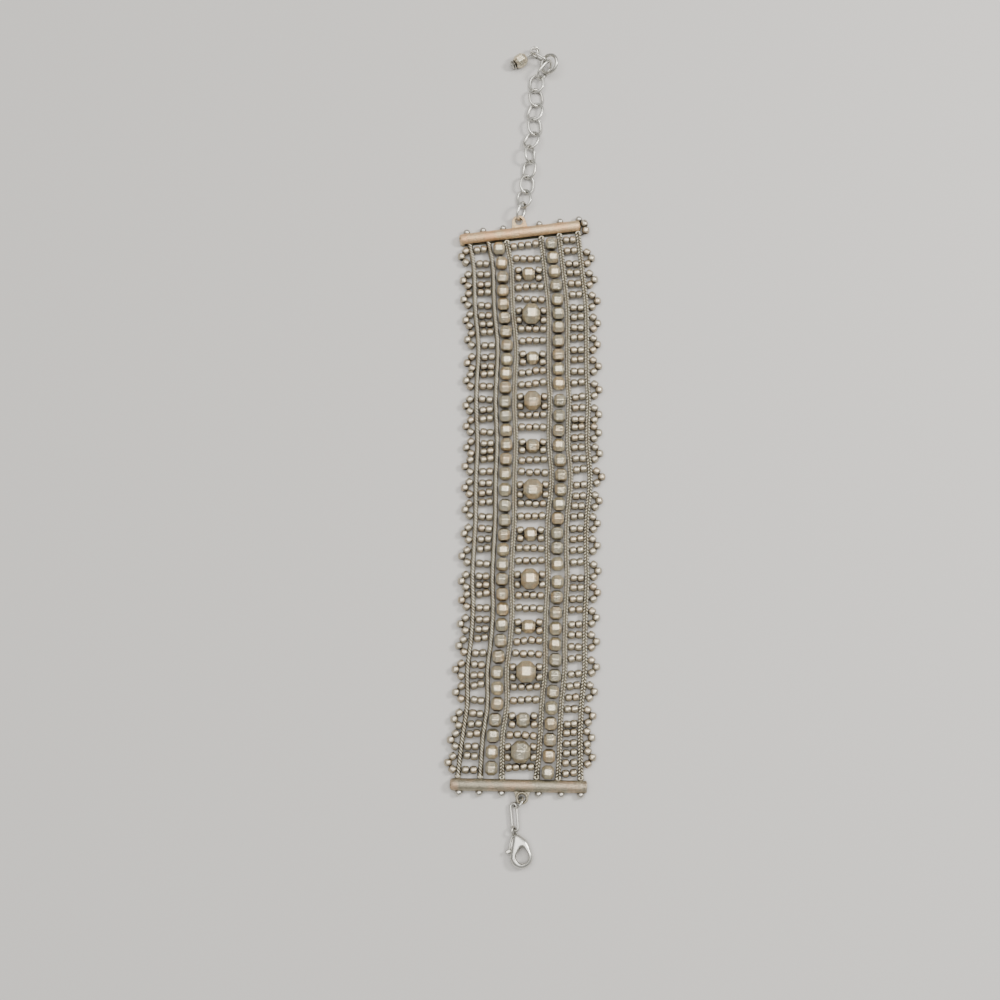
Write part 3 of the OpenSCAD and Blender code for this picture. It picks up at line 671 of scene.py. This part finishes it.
def lay_centre_beads(seed):
    large = large_bead_shape(LARGE_D, LARGE_LEN)
    middle = cut_bead_shape(MIDDLE_D, MIDDLE_LEN, 1.9, 2.7)
    for k, (length, thickness, turn) in enumerate(CENTRE_MAKE):
        is_large = k == 11 or k % 2 == 1
        flank_off = 1.4 if is_large else 1.15
        y = centre_y(k) + CENTRE_SLIDE[k]
        z = (LARGE_D if is_large else MIDDLE_D) * thickness * math.cos(math.radians(22.5 - turn)) / 2 + 0.02
        a, b = cord_x(2, y), cord_x(3, y)
        at = Vector(((a + b) / 2, y, z))
        lean = Matrix.Rotation(math.radians(3 * dice.uniform(-1, 1)), 4, "Z") @ rotation(x=turn)
        size = Matrix.Diagonal((length, thickness, thickness, 1))
        bead = Join()
        bead.add(large if is_large else middle, Matrix.Translation(at) @ lean @ size, dice.uniform(-0.1, 0.5))
        bead.finish("cut_centre_bead_%d" % (k + 1), CUT_SILVER,
                    ["centre_bead_%d" % (k + 1)], painted_side_shade=0.6)
        flank = Join()
        half = (LARGE_LEN if is_large else MIDDLE_LEN) * length / 2
        for side, wall in ((-1, a + CORD_D / 2), (1, b - CORD_D / 2)):
            x = (wall + at.x + side * half) / 2
            for up_down in (-1, 1):
                place = Vector((x, y + up_down * flank_off, 1.9 + 0.1 * dice.uniform(-1, 1)))
                flank.add(seed, facing(place, Vector((side, -up_down * 0.2, 0))), seed_tone())
                inner = Vector((at.x + side * half * 0.9, y, z))
                root = Vector((wall, y + up_down * flank_off, 1.9))
                add_thread(flank, [root, place, inner])
        add_thread(flank, [at - Vector((half, 0, 0)), at + Vector((half, 0, 0))])
        flank.finish("flank_beads_%d" % (k + 1), SEED_SILVER, [], painted_side_shade=0.6)


# End bars

def loft(profile, sections):
    """Sweeps a closed (y, z) profile through sections of (x, scale) about its middle height."""
    bm = bmesh.new()
    x0, s0 = sections[0]
    mid = 1.2
    verts = [bm.verts.new((x0, y * s0, mid + (z - mid) * s0)) for y, z in profile]
    edges = [bm.edges.new((a, b)) for a, b in zip(verts, verts[1:] + verts[:1])]
    first = list(edges)
    was = s0
    for x, s in sections[1:]:
        out = bmesh.ops.extrude_edge_only(bm, edges=edges)["geom"]
        ring = [g for g in out if isinstance(g, bmesh.types.BMVert)]
        edges = [g for g in out if isinstance(g, bmesh.types.BMEdge) and all(v in ring for v in g.verts)]
        for v in ring:
            v.co = Vector((x, v.co.y * s / was, mid + (v.co.z - mid) * s / was))
        was = s
    for loop in (first, edges):
        bmesh.ops.contextual_create(bm, geom=loop)
    outward(bm)
    return bm


# How a bar's end is rounded off. Columns: distance from the end, scale
DOMED_END = ((0, 0.55), (0.15, 0.78), (0.4, 0.9), (0.8, 0.97), (1.3, 1.0))
RIMMED_END = ((0, 0.72), (0.1, 0.94), (0.3, 1.0), (0.55, 1.0), (0.75, 0.93), (1.1, 0.95), (1.6, 1.0))
TOP_BAR_RIGHT = 16.9


def bar_shape(left, right, left_end):
    """A bar along X from left to right, round above, with a slot along its -Y side."""
    side, crown_low = BAR_W / 2, 1.4
    arc = [(side * math.cos(math.radians(a)), crown_low + side * math.sin(math.radians(a)))
           for a in (180, 161, 143, 128, 113, 98, 82, 67, 52, 37, 19, 0)]
    profile = [(-1.45, 0.0), (-side, 0.25), (-side, 0.575), (-side, 1.0)] + arc + [(side, 0.25), (1.45, 0.0)]
    sections = [(left + x, s) for x, s in left_end] + [(right - x, s) for x, s in reversed(DOMED_END)]
    bm = loft(profile, sections)
    slot = [f for f in bm.faces if abs(f.calc_center_median().x) < 2 and f.calc_center_median().y < -1.2
            and 0.5 < f.calc_center_median().z < 1.9 and len(f.verts) == 4]
    deep = bmesh.ops.extrude_face_region(bm, geom=slot)["geom"]
    for v in deep:
        if isinstance(v, bmesh.types.BMVert):
            v.co.y = 0.1
    bmesh.ops.delete(bm, geom=[f for f in slot if f.is_valid], context="FACES_ONLY")
    bmesh.ops.recalc_face_normals(bm, faces=bm.faces)
    for face in bm.faces:
        face.smooth = True
    mesh = mesh_of(bm)
    # Painted shade at the back of the slot and under the bar's lower lip.
    mark_painted_shade(mesh, lambda co: 0.8 if 0 < co.y < 0.2 or (co.y < -1.4 and co.z < 0.7) else 0.0)
    return mesh


def tab_shape(centre, tip, foot, hole_at, hole_r, rim):
    """Flat tab round a centre above the bar, its foot inside the bar, with a hole near its round tip."""
    thick, low = 0.9, 1.0
    drop = centre - (BAR_W / 2 - 0.3)

    def outline(a):
        c, s = math.cos(a), math.sin(a)
        if s >= -0.05:
            return tip
        to_foot = drop / -s
        if to_foot * abs(c) <= foot:
            return to_foot
        # the sloping side runs from (tip, 0) to (foot, -drop)
        return tip / (abs(c) + (foot - tip) / drop * s)

    steps = 36
    bm = bmesh.new()
    loops = []
    for radius, (x, y) in ((outline, (0, centre)), (lambda a: hole_r, hole_at)):
        ring = []
        for k in range(steps):
            a = 2 * math.pi * k / steps
            ring.append(bm.verts.new((x + radius(a) * math.cos(a), y + radius(a) * math.sin(a), low)))
        loops += [bm.edges.new((p, q)) for p, q in zip(ring, ring[1:] + ring[:1])]
    bmesh.ops.bridge_loops(bm, edges=loops)
    out = bmesh.ops.extrude_face_region(bm, geom=list(bm.faces), use_keep_orig=True)["geom"]
    bmesh.ops.translate(bm, vec=(0, 0, thick), verts=[v for v in out if isinstance(v, bmesh.types.BMVert)])
    outward(bm)
    sharp = [e for e in bm.edges if len(e.link_faces) == 2 and e.calc_face_angle() > 1.0]
    bmesh.ops.bevel(bm, geom=sharp, offset=0.16, segments=2, profile=0.5, affect="EDGES", material=-1)
    for face in bm.faces:
        face.smooth = True
    tab = Join()
    tab.add(mesh_of(bm))
    if rim:
        tab.add(wire([(hole_at[0] + 1.42 * math.cos(a), hole_at[1] + 1.42 * math.sin(a), low + thick)
                      for a in np.linspace(0, 2 * math.pi, 28, endpoint=False)], 0.34, closed=True))
    return mesh_of(tab.bm)


BALL_R = 1.0
# How far a ball's centre stands out from the bar's side, and its height
BALL_OUT, BALL_Z = 0.45, 1.15


def ball_shape():
    bm = bmesh.new()
    bmesh.ops.create_uvsphere(bm, u_segments=16, v_segments=10, radius=BALL_R)
    for face in bm.faces:
        face.smooth = True
    return mesh_of(bm)


# Places along each bar, in its own frame
TOP_BALLS = (-16.3, -11.5, -5.6, 5.1, 11.2, 16.8)
BOTTOM_BALLS = (16.2, 10.7, 4.6, -5.5, -11.65, -16.97)
TOP_TAB_X, BOTTOM_TAB_X = -0.75, -1.0
TOP_HOLE, BOTTOM_HOLE = (0, 3.5), (0, 3.3)


def lay_bars():
    ball = ball_shape()
    half = BAR_LEN / 2
    top_tab = tab_shape(3.4, 2.0, 2.3, TOP_HOLE, 1.1, False)
    bottom_tab = tab_shape(3.3, 1.7, 2.3, BOTTOM_HOLE, 1.0, True)
    for name, at, turn, xs, tab_x, tab, shape, tone, metal in (
        ("top_bar", TOP_BAR_AT, TOP_BAR_TURN, TOP_BALLS, TOP_TAB_X, top_tab,
         bar_shape(-half, TOP_BAR_RIGHT, DOMED_END), 0.5, PEACH_SILVER),
        ("bottom_bar", BOTTOM_BAR_AT, math.pi + BOTTOM_BAR_TURN, BOTTOM_BALLS, BOTTOM_TAB_X, bottom_tab,
         bar_shape(-half, half, RIMMED_END), 0.05, CAST_SILVER),
    ):
        bar = Join()
        place = Matrix.Translation(at) @ Matrix.Rotation(turn, 4, "Z")
        bar.add(shape, place, tone)
        bar.add(tab, place @ Matrix.Translation((tab_x, 0, 0)), tone - 0.3)
        bar.finish("cast_" + name, metal, [name], crease=40)
        balls = Join()
        for x in xs:
            balls.add(ball, place @ Matrix.Translation((x, BAR_W / 2 + BALL_OUT, BALL_Z)), 0.5)
        balls.finish(name + "_balls", BRIGHT_SILVER, [])


# Chain, rings and drop

WIRE_D, LINK_LEN, LAST_LINK_LEN, LINK_W = 0.8, 6.05, 7.05, 4.95
# Columns: middle x, y and z, heading from +Y, dip, roll about the link's length
LINKS = (
    (-0.78, 85.70, 2.27, 20.0, 0.0, 68.4), (0.12, 89.95, 1.50, -9.6, -8.8, -29.5),
    (0.96, 94.43, 1.35, 7.8, 0.1, 26.7), (1.64, 99.03, 1.57, 7.6, 5.3, -33.6),
    (1.87, 103.64, 1.96, 2.7, 0.1, 51.3), (2.38, 108.23, 1.62, 25.9, 0.4, -24.2),
    (3.26, 112.72, 1.35, -4.7, 3.8, 27.1), (3.47, 117.32, 1.31, 19.4, 2.2, -17.7),
    (3.72, 121.91, 1.17, -5.6, 1.2, 23.0), (3.95, 126.53, 1.11, 2.2, -0.1, -21.9),
    (6.31, 130.34, 2.32, 38.1, 0.0, 72.3),
)
DROP_LINK = (5.10, 134.37, 2.35, -56.7, 0.6, 73.9)
END_RING = (7.68, 132.33, 2.21, -15.4, -4.4, -37.7)
# Keeps the lowest link above the table
CHAIN_LIFT = 0.07
DROP_AT, DROP_HEADING = (3.48, 136.43, 1.92), 213


def rotation(x=0, y=0, z=0):
    """Turns about X, then Y, then Z, in degrees."""
    return (Matrix.Rotation(math.radians(z), 4, "Z") @ Matrix.Rotation(math.radians(y), 4, "Y")
            @ Matrix.Rotation(math.radians(x), 4, "X"))


def oval(length, width, d, count=36):
    half_l, half_w = (length - d) / 2, (width - d) / 2
    points = []
    for k in range(count):
        a = 2 * math.pi * k / count
        c, s = math.cos(a), math.sin(a)
        points.append((half_w * s, math.copysign(half_l - half_w, c) * ease(abs(c) * 4) + half_w * c, 0))
    return wire(points, d / 2, closed=True)


def bottom_hole():
    off = Vector((BOTTOM_TAB_X, BOTTOM_HOLE[1], 0))
    return BOTTOM_BAR_AT - Matrix.Rotation(BOTTOM_BAR_TURN, 3, "Z") @ off


def one_piece(name, shapes, material, nodes, body="bracelet", crease=None):
    join = Join()
    for shape, matrix, tone in shapes:
        join.add(shape, matrix, tone)
    return join.finish(name, material, nodes, body, crease)


def ring(d, wire_d, count=40):
    r = (d - wire_d) / 2
    angles = np.linspace(0, 2 * math.pi, count, endpoint=False)
    return wire([(r * math.cos(a), r * math.sin(a), 0) for a in angles], wire_d / 2, closed=True)


def laid(row):
    """Places a link or ring by a row of middle x, y and z, heading from +Y, dip and roll."""
    x, y, z, heading, dip, roll = row
    at = Matrix.Translation((x, y, z + CHAIN_LIFT))
    return at @ rotation(z=-heading) @ rotation(x=dip) @ rotation(y=roll)


def lay_chain():
    link = oval(LINK_LEN, LINK_W, WIRE_D)
    last = oval(LAST_LINK_LEN, LINK_W, WIRE_D)
    for k, row in enumerate(LINKS):
        shape = last if k == len(LINKS) - 1 else link
        one_piece("oval_link_%d" % (k + 1), [(shape, laid(row), 0.1 * wobble(k, 1))],
                  BRIGHT_SILVER, ["chain_link_%d" % (k + 1)])
    one_piece("round_end_ring", [(ring(6.5, 1.0), laid(END_RING), 0.0)],
              BRIGHT_SILVER, ["end_ring"])
    one_piece("oval_drop_link", [(link, laid(DROP_LINK), 0.1)], BRIGHT_SILVER, ["drop_link"])
    drop = Matrix.Translation(DROP_AT) @ rotation(z=DROP_HEADING)
    stem = wire([(1.3, 0, 0), (7.7, 0, 0)], 0.3)
    inner_turn = Matrix.Translation((0.22, 0, 0.1)) @ rotation(x=-22)
    cap = turned(((7.55, 0.28), (7.55, 1.4), (7.66, 1.5), (7.78, 1.4), (7.84, 0.9), (8.0, 0.9),
                  (8.04, 1.12), (8.14, 1.22), (8.26, 1.1), (8.3, 0.28)), steps=24)
    one_piece("drop_eye_pin",
              [(ring(3.3, 0.6), drop @ rotation(x=-30.9), 0.0), (ring(2.5, 0.5), drop @ inner_turn, 0.3),
               (stem, drop, 0.0), (cap, drop, 0.3)],
              BRIGHT_SILVER, ["drop_pin"], crease=40)
    bead = cut_bead_shape(4.1, 3.8, 1.9, 2.6)
    one_piece("cut_drop_bead", [(bead, drop @ Matrix.Translation((5.2, 0, 0)), 0.2)],
              CUT_SILVER, ["drop_bead"])


# Clasp

CLASP_Z, CLASP_T = 1.4, 2.6
CLASP_EYE = (-0.95, -97.9)


def hull_of_circles(circles, count=240):
    """Outline of circles (x, y, diameter) wrapped by a band, as points."""
    points = []
    for k in range(count):
        a = 2 * math.pi * k / count
        c, s = math.cos(a), math.sin(a)
        x, y, d = max(circles, key=lambda o: o[0] * c + o[1] * s + o[2] / 2)
        points.append((x + d / 2 * c, y + d / 2 * s))
    return points


def reach_along(outline, centre, a):
    """Where a ray from the centre leaves the outline."""
    dx, dy = math.cos(a), math.sin(a)
    best = None
    for (x1, y1), (x2, y2) in zip(outline, outline[1:] + outline[:1]):
        ex, ey = x2 - x1, y2 - y1
        det = dx * -ey + dy * ex
        if abs(det) < 1e-9:
            continue
        px, py = x1 - centre[0], y1 - centre[1]
        t = (px * -ey + py * ex) / det
        u = (dx * py - dy * px) / det
        if t > 0 and -1e-6 <= u <= 1 + 1e-6 and (best is None or t < best):
            best = t
    return (centre[0] + dx * best, centre[1] + dy * best)


def teardrop():
    """The hook's closed band, highest near its opening, before the lever's part is parted off."""
    outer = hull_of_circles(((-1.25, -98.45, 6.1), (-1.15, -96.3, 4.6), (-1.0, -95.05, 3.2),
                             (-2.6, -93.05, 1.8)))
    inner = hull_of_circles(((-0.95, -98.4, 3.45), (-0.85, -96.15, 0.7)))
    rise = ((0.0, 0.25), (0.04, 0.5), (0.14, 0.72), (0.32, 0.88), (0.55, 0.97), (0.74, 1.0),
            (0.88, 0.9), (0.97, 0.62), (1.0, 0.25))
    section = list(rise) + [(t, -h) for t, h in reversed(rise)]
    steps = 72
    bm = bmesh.new()

    def station(k):
        a = 2 * math.pi * k / steps
        far, near = (Vector(reach_along(line, CLASP_EYE, a)) for line in (outer, inner))
        return [(*far.lerp(near, t), CLASP_Z + CLASP_T / 2 * h) for t, h in section]

    verts = [bm.verts.new(co) for co in station(0)]
    edges = [bm.edges.new((p, q)) for p, q in zip(verts, verts[1:] + verts[:1])]
    first = list(edges)
    for k in range(1, steps):
        out = bmesh.ops.extrude_edge_only(bm, edges=edges)["geom"]
        new = {g for g in out if isinstance(g, bmesh.types.BMVert)}
        verts = [next(e.other_vert(v) for e in v.link_edges if e.other_vert(v) in new) for v in verts]
        for v, co in zip(verts, station(k)):
            v.co = co
        edges = [g for g in out if isinstance(g, bmesh.types.BMEdge) and all(v in new for v in g.verts)]
    bmesh.ops.bridge_loops(bm, edges=first + edges)
    outward(bm)
    for face in bm.faces:
        face.smooth = True
    return mesh_of(bm)


def carved(blank, tool, operation):
    """A mesh with another cut from it, or kept only inside the other."""
    pieces = [bpy.data.objects.new(name, mesh) for name, mesh in (("blank", blank), ("tool", tool))]
    for obj in pieces:
        bpy.context.scene.collection.objects.link(obj)
    cut = pieces[0].modifiers.new("cut", "BOOLEAN")
    cut.operation, cut.object, cut.solver = operation, pieces[1], "EXACT"
    mesh = evaluated_mesh(pieces[0])
    for obj in pieces:
        bpy.data.objects.remove(obj)
    return mesh


def plate(outline, low, thick, bevel=0.0):
    """Flat plate from an outline of points, its edges rounded by a bevel."""
    bm = bmesh.new()
    bm.faces.new([bm.verts.new((x, y, low)) for x, y in outline])
    out = bmesh.ops.extrude_face_region(bm, geom=list(bm.faces), use_keep_orig=True)["geom"]
    bmesh.ops.translate(bm, vec=(0, 0, thick), verts=[v for v in out if isinstance(v, bmesh.types.BMVert)])
    outward(bm)
    if bevel:
        rim = [e for e in bm.edges if len(e.link_faces) == 2 and e.calc_face_angle() > 1.2]
        bmesh.ops.bevel(bm, geom=rim, offset=bevel, segments=3, profile=0.5, affect="EDGES", material=-1)
    for face in bm.faces:
        face.smooth = True
    return mesh_of(bm)


PIVOT = (-2.55, -94.3)


def lever_room(near, far):
    """Block between two arcs about the lever's pin, which parts the lever's share from the hook."""
    arcs = [(far, a) for a in range(200, 289, 4)] + [(near, a) for a in range(300, 199, -4)]
    outline = [(PIVOT[0] + r * math.cos(math.radians(a)), PIVOT[1] + r * math.sin(math.radians(a)))
               for r, a in arcs]
    return plate(outline, -1.0, 5.0)


def block(low, high):
    bm = bmesh.new()
    bmesh.ops.create_cube(bm, size=1)
    bmesh.ops.scale(bm, vec=[b - a for a, b in zip(low, high)], verts=bm.verts)
    bmesh.ops.translate(bm, vec=[(a + b) / 2 for a, b in zip(low, high)], verts=bm.verts)
    return bm


# The raised edge along the lever's outer side
LEVER_RIM = ((-3.62, -93.0, 1.4), (-3.78, -93.35, 1.45), (-4.0, -93.99, 1.5), (-4.25, -94.8, 1.5),
             (-4.4, -95.58, 1.5), (-4.42, -96.3, 1.45), (-4.3, -96.9, 1.4), (-3.9, -97.4, 1.35))
CLASP_LINK_AT = (-3.1, -87.9, 1.3)
CLASP_RING_LEAN = 235


def lay_clasp():
    hole = bottom_hole()
    lean = math.radians(CLASP_RING_LEAN)
    at = Vector((hole.x + 1.5 * math.cos(lean), hole.y + 1.5 * math.sin(lean), 1.85))
    ring_at = Matrix.Translation(at) @ rotation(z=CLASP_RING_LEAN) @ rotation(x=68)
    one_piece("round_clasp_ring", [(ring(3.9, 0.65), ring_at, 0.0)],
              BRIGHT_SILVER, ["clasp_ring"])
    link_at = Matrix.Translation(CLASP_LINK_AT) @ rotation(y=-20, z=5)
    one_piece("long_clasp_link", [(oval(8.0, 2.45, 0.75), link_at, 0.0)],
              BRIGHT_SILVER, ["clasp_link"])
    whole = teardrop()
    hook = carved(whole.copy(), lever_room(2.0, 4.75), "DIFFERENCE")
    slot = mesh_of(block((-6, -96.9, CLASP_Z - 0.7), (-0.9, -93.0, CLASP_Z + 0.7)))
    hook = carved(hook, slot, "DIFFERENCE")
    pin = turned(((-1.0, 0.0001), (-1.0, 0.3), (1.0, 0.3), (1.0, 0.0001)), steps=20)
    pin_at = Matrix.Translation((*PIVOT, CLASP_Z)) @ rotation(y=90)
    eye = Matrix.Translation((-3.3, -91.45, CLASP_Z)) @ rotation(y=62)
    one_piece("clasp_hook", [(hook, None, 0.0), (pin, pin_at, 0.2), (ring(2.7, 0.6), eye, 0.1)],
              BRIGHT_SILVER, ["clasp_body"], crease=40)
    cheek = carved(whole, lever_room(2.04, 4.7), "INTERSECT")
    tongue_outline = hull_of_circles(((*PIVOT, 1.5), (-3.35, -93.75, 0.9), (-3.75, -95.7, 1.3),
                                      (-3.4, -97.0, 1.3)), count=48)
    tongue = plate(tongue_outline, CLASP_Z - 0.55, 0.55, 0.12)
    thumb = block((-0.75, -0.5, -0.5), (0.75, 0.5, 0.5))
    bmesh.ops.bevel(thumb, geom=list(thumb.edges), offset=0.25, segments=3, profile=0.5,
                    affect="EDGES", material=-1)
    for face in thumb.faces:
        face.smooth = True
    thumb_at = Matrix.Translation((-4.75, -97.0, CLASP_Z)) @ rotation(z=25)
    one_piece("clasp_trigger",
              [(cheek, None, 0.1), (tongue, None, 0.3), (wire(LEVER_RIM, 0.2), None, 0.25),
               (mesh_of(thumb), thumb_at, 0.2)],
              BRIGHT_SILVER, ["clasp_lever"], body="lever", crease=40)


set_stage()
seed_bead = turned(SEED_PROFILE, steps=12, hollow_radius=0.4)
stitch = stitch_shape(0.64, 0.3, 0.50, 0.3)
strand = stitch_shape(1.15, 0.32, 0.68, 0.45)
for number in range(len(CORD_LIFT)):
    lay_cord(number, stitch, strand)
lay_side_rows(seed_bead)
lay_centre_rows(seed_bead)
lay_edge_loops(seed_bead)
lay_cut_columns(cut_bead_shape(CUT_D, CUT_LEN, 1.7, 2.6))
lay_centre_beads(seed_bead)
lay_bars()
lay_chain()
lay_clasp()
